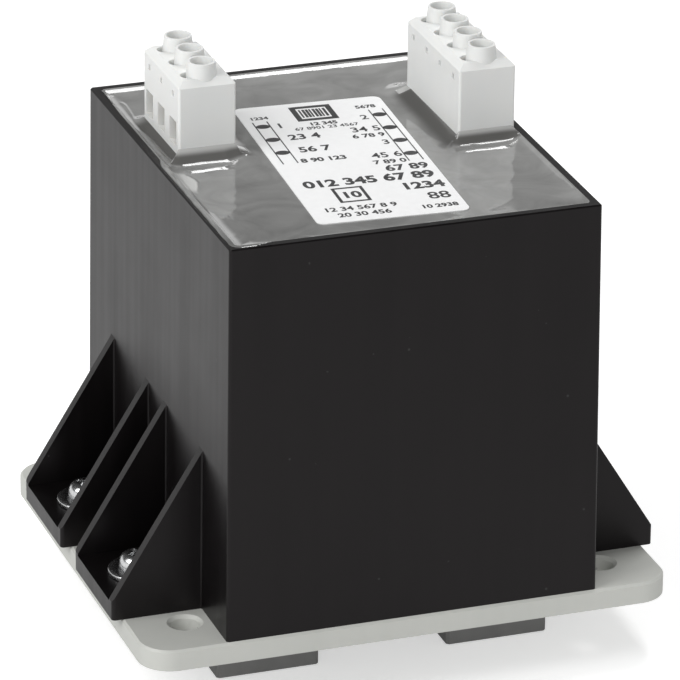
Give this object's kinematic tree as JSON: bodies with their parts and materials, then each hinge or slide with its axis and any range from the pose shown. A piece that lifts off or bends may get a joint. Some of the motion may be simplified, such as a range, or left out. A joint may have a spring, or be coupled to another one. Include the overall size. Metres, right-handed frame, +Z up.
{
  "type": "safety transformer",
  "caption": "Potted safety transformer in an open-topped moulded case with screw lugs, screw terminals on the resin, on an adapter plate with rail clips.",
  "frame": {"origin": "centre of the footprint, on the surface that the rail clips stand on", "axes": "+Z up towards the terminals, +X across the screw lugs with the secondary terminals on the +X side, +Y from the front face to the back, where the clips have their release tabs"},
  "size_m": [0.0864, 0.071, 0.0886],
  "materials": {
    "case_plastic": "satin",
    "resin": "gloss",
    "core_steel": "satin",
    "bobbin_plastic": "satin",
    "winding_copper": "satin",
    "wrap_film": "gloss",
    "lead_insulation": "satin",
    "tinned_metal": "satin",
    "clamp_brass": "satin",
    "screw_steel": "bright zinc",
    "terminal_plastic": "satin",
    "label_film": "satin",
    "plate_plastic": "satin",
    "clip_plastic": "satin"
  },
  "bodies": {
    "root": {"housing": "case_plastic", "potting_resin": "resin", "core_e_stack": "core_steel", "core_i_stack": "core_steel", "winding_bobbin": "bobbin_plastic", "primary_winding": "winding_copper", "primary_wrap": "wrap_film", "inner_secondary_winding": "winding_copper", "secondary_interlayer": "wrap_film", "outer_secondary_winding": "winding_copper", "secondary_wrap": "wrap_film", "primary_lead_wires": "lead_insulation", "secondary_lead_wires": "lead_insulation", "primary_solder_pins": "tinned_metal", "secondary_solder_pins": "tinned_metal", "primary_clamp_cages": "clamp_brass", "secondary_clamp_cages": "clamp_brass", "primary_clamp_screws": "screw_steel", "secondary_clamp_screws": "screw_steel", "primary_terminal_body": "terminal_plastic", "secondary_terminal_body": "terminal_plastic", "rating_label": "label_film", "adapter_plate": "plate_plastic", "lug_screws": "screw_steel", "lug_washers": "screw_steel", "lug_nuts": "screw_steel", "rail_clip_left": "clip_plastic", "rail_clip_right": "clip_plastic", "rail_clip_screws": "screw_steel"}
  },
  "joints": []
}
